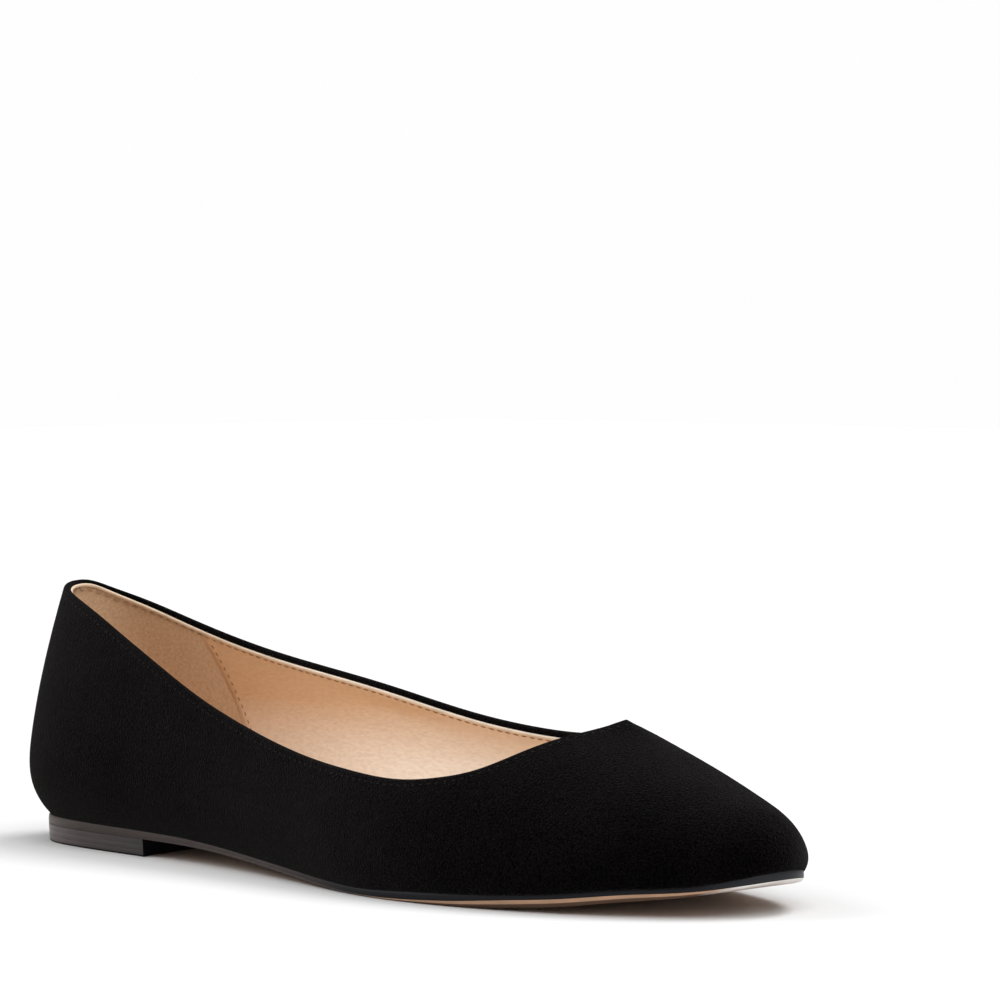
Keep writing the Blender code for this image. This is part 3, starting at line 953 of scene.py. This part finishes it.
class FlatStitches(bpy.types.Operator):
    """Stitches: the topline rows inside and outside, and a row along each counter seam"""
    bl_idname = "ballet_flat.stitches"
    bl_label = "Stitches"

    def execute(self, context):
        sizes, colours = settings(context)
        # Spun and twisted thread: brown specks with a soft sheen, a little darker than the leather.
        brown = mottled("lining thread, twisted", colours.thread, 0.7, 0.4, 0.05, 0.6, 0.3)
        # The same thread dyed black: smoother than the nap, so it shows as faint grey specks.
        black = mottled("upper thread, twisted", colours.thread_black, 0.5, 0.4, 0.05, 0.6, 0.1)
        face = sizes.wall + sizes.lining
        inside = collar_line(sizes.stitch_row, face - STITCH_SINK)
        skin = collar_line(sizes.stitch_row, 0.0)
        stitch = np.array([sizes.pitch, sizes.stitch, sizes.thread])
        row = lay_stitches("topline_stitches", inside, inside - skin, *stitch)
        # Twisted thread, pulled into the counter's felt at the heel: hardly seen there, brown in front.
        topline = along_shoe("topline thread, twisted", [
            (8.0, colours.thread_heel), (28.0, colours.thread_heel),
            (42.0, colours.thread), (THROAT, colours.thread)], 0.6, 0.3)
        finish(row, "upper", topline)
        outside = collar_line(sizes.outer_row, OUTER_SINK)
        deeper = collar_line(sizes.outer_row, 1.0)
        row = lay_stitches("collar_stitches", outside, outside - deeper, *(stitch * OUTER_STITCH))
        finish(row, "upper", black)
        heights = np.linspace(SEAM_STITCHES_FOOT, 1.0, SEAM_POINTS)
        for side in SIDES:
            share = seam_share(sizes, heights) + SEAM_STITCHES_AHEAD
            angle = np.interp(share, WALL[side].share, WALL[side].angle) * heights
            line = under_skin(side, share, angle, face + padding(sizes, share, heights))
            row = lay_stitches("seam_stitches_" + side, line, -outward(side, share, angle),
                               *(stitch * SEAM_STITCH))
            finish(row, "upper", brown)
        return {"FINISHED"}


class FlatSock(bpy.types.Operator):
    """Sock lining: a thin leather sheet on the insole, cupped where it meets the lining"""
    bl_idname = "ballet_flat.sock"
    bl_label = "Sock lining"

    def execute(self, context):
        sizes, colours = settings(context)
        face = sizes.wall + sizes.lining
        edges = [wall_half(side, SOCK_HEIGHT, face + SOCK_PROUD) for side in SIDES]
        flat = feather_height(WALL["lateral"].share) + INSOLE_THICK + sizes.sock
        rows = []
        for across in np.linspace(0.0, 1.0, SOCK_ROWS):
            row = edges[0] + (edges[1] - edges[0]) * across
            row[:, 2] = flat + (row[:, 2] - flat) * abs(2.0 * across - 1.0) ** SOCK_CUP
            rows.append(row)
        sock = sheet("sock_lining", rows)
        thicken(sock, sizes.sock * MM)
        # Leather pressed smooth under a hot plate: an even tan with a fine grain along the foot.
        leather = mottled("sock leather, plated", colours.sock, 0.92, 1.4, 0.08, 0.55, 0.35,
                          (0.5, 1.0, 1.0))
        finish(sock, "insole", leather, replaces="insole")
        return {"FINISHED"}


def seat_inset(share):
    """Inset of the sole's edge from the feather line, less at the back, where the heel seat stands out."""
    way = np.clip((forward(share) - HEEL_BACK) / SEAT_LENGTH, 0.0, 1.0)
    return SOLE_INSET - SEAT_FLARE * (1.0 - way) ** 2


class FlatOutsole(bpy.types.Operator):
    """Outsole: thin leather with a painted edge, and a bare bevel and underside at the forefoot"""
    bl_idname = "ballet_flat.outsole"
    bl_label = "Outsole"

    def execute(self, context):
        colours = settings(context)[1]
        share = np.linspace(0.0, 1.0, OUTLINE_STATIONS + 1)
        x = forward(share)
        low, top, bevel = underside(x), feather_height(share) - SOLE_DROP, SOLE_AT["bevel"](x)
        inset = seat_inset(share)
        turned = low + BEVEL_RISE * bevel
        # Half the sole's section, as insets and heights: top, rounded shoulder, painted edge and bevel.
        half = [(inset + 1.5, top), (inset + 0.35, top), (inset + 0.05, top - 0.2),
                (inset - 0.04, (top + turned) / 2.0), (inset, turned + 0.12), (inset + 0.1, turned),
                (inset + 0.45 * bevel, low + 0.7 * bevel), (inset + 0.9 * bevel, low + 0.2 * bevel),
                (inset + bevel + 0.4, low)]
        ring = [("lateral", *spot) for spot in half] + [("medial", *spot) for spot in half[::-1]]
        ring.append(ring[0])
        rows = [np.column_stack([outline(side, share, inset), z]) for side, inset, z in ring]
        outsole = sheet("outsole_leather", np.array(rows)[:, ::-1])
        steps = len(ring) - 1
        faces_by_place(outsole, [end / steps for end in FINISH_ENDS])
        # Edge inked and waxed: near black and faintly glossy, painted lighter at the heel's back as painted
        # light, browner at the waist, thin at the toe.
        edge = along_shoe("sole leather, painted edge", [
            (HEEL_BACK, colours.heel_back), (30.0, colours.waist), (115.0, colours.waist),
            (150.0, colours.paint), (242.0, colours.paint), (TOE_TIP, colours.paint_toe)], 0.45, 0.17)
        # Edge scraped back below the paint: a thin line of bare tan leather, painted pale at the toe as a
        # painted reflection of the white floor.
        rim = along_shoe("sole leather, scraped bevel", [
            (60.0, colours.waist), (150.0, colours.waist), (168.0, colours.bare), (245.0, colours.bare),
            (249.0, colours.pale), (TOE_TIP, colours.pale)], 0.5, 0.4)
        # Painted shadow at the foot of the bevel, where the floor shades it: a brown band that parts the
        # tan line from the underside, pale at the toe as a painted reflection.
        worn = along_shoe("sole leather, worn bevel", [
            (60.0, colours.waist), (150.0, colours.waist), (168.0, colours.worn), (242.0, colours.worn),
            (249.0, colours.pale), (TOE_TIP, colours.pale)], 0.6, 0.3)
        # Sole leather left bare: an even tan with a low gloss, painted pale at the toe as a painted
        # reflection of the white floor.
        bare = along_shoe("sole leather, bare", [
            (60.0, colours.bare), (240.0, colours.bare),
            (249.0, colours.pale), (TOE_TIP, colours.pale)], 0.5, 0.4)
        finish(outsole, "outsole", edge, rim, worn, bare, worn, rim, edge, replaces="outsole")
        return {"FINISHED"}


class FlatHeel(bpy.types.Operator):
    """Heel: stacked lifts with fine lines between them, a hollowed breast and a dark foot"""
    bl_idname = "ballet_flat.heel"
    bl_label = "Stacked heel"

    def execute(self, context):
        sizes, colours = settings(context)
        share = np.linspace(0.0, float(station(HEEL_FRONT)), OUTLINE_STATIONS // 3)
        way = np.linspace(0.0, 1.0, BREAST_POINTS + 1)[:, None]

        def ring(height, groove):
            inset = seat_inset(share) + HEEL_TAPER * (1.0 - height / HEEL_HEIGHT) + groove
            outer, inner = (outline(side, share, inset) for side in SIDES)
            breast = inner[-1] + (outer[-1] - inner[-1]) * way
            breast[:, :1] -= (BREAST_HOLLOW + groove) * 4.0 * way * (1.0 - way)
            around = np.concatenate([outer[::-1], inner[1:], breast[1:]])
            return np.column_stack([around, np.full(len(around), height)])
        top = HEEL_HEIGHT + HEEL_SEAT
        rows = [ring(top, 0.0)]
        for line in np.arange(top - sizes.lift, LOWEST_LINE, -sizes.lift):
            rows += [ring(line + LIFT_LINE, 0.0), ring(line, sizes.groove), ring(line - LIFT_LINE, 0.0)]
        rows += [ring(DARK_FOOT, 0.0), *(ring(*row) for row in FOOT_ROWS)]
        heel = sheet("stacked_heel", np.array(rows))
        for height in (top, 0.0):
            cap(heel, height)
        bpy.ops.object.shade_smooth_by_angle(angle=radians(40.0))
        # Fibre board stacked and burnished: grey-brown with a satin gloss, with painted light making it
        # lighter at the back and painted shade making it darker next to the breast.
        board = along_shoe("heel board, stacked and burnished", [
            (HEEL_BACK, colours.heel_back), (30.0, colours.heel),
            (HEEL_FRONT, colours.heel_front)], 0.4, 0.45)
        # The same board, near black on the breast, partly ink and partly painted shade, and in a near black
        # band at the foot.
        ink_and_shade = mottled("heel board, inked breast", colours.paint, 0.7, 0.7, 0.08, 0.7, 0.1)
        faces_by_place(heel, [1.0 - BREAST_POINTS / (len(rows[0]) - 1)], axis=0)
        for face in heel.data.polygons:
            if face.center.z < DARK_FOOT * MM:
                face.material_index = 1
        finish(heel, "heel", board, ink_and_shade, replaces="heel")
        return {"FINISHED"}


class FlatStage(bpy.types.Operator):
    """Stage: a flat pale floor, soft studio light and the camera"""
    bl_idname = "ballet_flat.stage"
    bl_label = "Stage"

    def execute(self, context):
        colours = settings(context)[1]
        bpy.ops.object.select_all(action="DESELECT")
        bpy.ops.mesh.primitive_plane_add(size=FLOOR_SIZE)
        floor = context.object
        floor.name = "studio_floor"
        # Uncoated paper: an even pale grey that lights up to white.
        paper = mottled("studio paper, matt", colours.floor, 1.0, 3.0, 0.01, 0.9, 0.1)
        floor.data.materials.append(paper)
        world = bpy.data.worlds.new("studio")
        world.use_nodes = True
        tree = world.node_tree
        seen = add(tree, "ShaderNodeLightPath").outputs["Is Camera Ray"]
        power = add(tree, "ShaderNodeMapRange", Value=seen, To_Min=AMBIENT, To_Max=BACKGROUND)
        tree.links.new(power.outputs["Result"], tree.nodes["Background"].inputs["Strength"])
        tree.nodes["Background"].inputs["Color"].default_value = (1.0, 1.0, 1.0, 1.0)
        context.scene.world = world
        for name, direction, angle, energy in SUNS:
            bpy.ops.object.light_add(type="SUN")
            light = context.object
            light.name = "studio_" + name
            light.rotation_euler = Vector(direction).to_track_quat("Z", "Y").to_euler()
            light.data.angle = radians(angle)
            light.data.energy = energy
        turn, pitch = radians(CAMERA_TURN), radians(CAMERA_PITCH)
        bpy.ops.object.camera_add(location=CAMERA_PLACE)
        camera = context.object
        camera.name = "studio_camera"
        ahead = Vector((-sin(turn) * cos(pitch), cos(turn) * cos(pitch), -sin(pitch)))
        camera.rotation_euler = ahead.to_track_quat("-Z", "Y").to_euler()
        camera.data.lens = CAMERA_LENS
        camera.data.sensor_width = SENSOR
        camera.data.clip_start = 0.01
        context.scene.camera = camera
        context.scene.view_settings.view_transform = "Standard"
        return {"FINISHED"}


class FlatPanel(bpy.types.Panel):
    """Lists the steps and the settings in the sidebar"""
    bl_idname = "VIEW3D_PT_ballet_flat"
    bl_label = "Ballet flat"
    bl_space_type = "VIEW_3D"
    bl_region_type = "UI"
    bl_category = "Ballet flat"

    def draw(self, context):
        for step in STEPS:
            self.layout.operator(step.bl_idname)
        for group in (context.scene.flat_sizes, context.scene.flat_colours):
            for name in group.bl_rna.properties.keys():
                if name not in ("rna_type", "name"):
                    self.layout.prop(group, name)


STEPS = (FlatUpper, FlatLining, FlatStitches, FlatSock, FlatOutsole, FlatHeel, FlatStage)
CLASSES = (FlatSizes, FlatColours, *STEPS, FlatPanel)


def register():
    """Makes the settings, the steps and the panel known to Blender."""
    for kind in CLASSES:
        bpy.utils.register_class(kind)
    bpy.types.Scene.flat_sizes = bpy.props.PointerProperty(type=FlatSizes)
    bpy.types.Scene.flat_colours = bpy.props.PointerProperty(type=FlatColours)


def unregister():
    """Takes them away again."""
    del bpy.types.Scene.flat_colours
    del bpy.types.Scene.flat_sizes
    for kind in reversed(CLASSES):
        bpy.utils.unregister_class(kind)


def main():
    """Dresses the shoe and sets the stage."""
    register()
    bpy.ops.ballet_flat.upper()
    bpy.ops.ballet_flat.lining()
    bpy.ops.ballet_flat.stitches()
    bpy.ops.ballet_flat.sock()
    bpy.ops.ballet_flat.outsole()
    bpy.ops.ballet_flat.heel()
    bpy.ops.ballet_flat.stage()


if __name__ == "__main__":
    main()
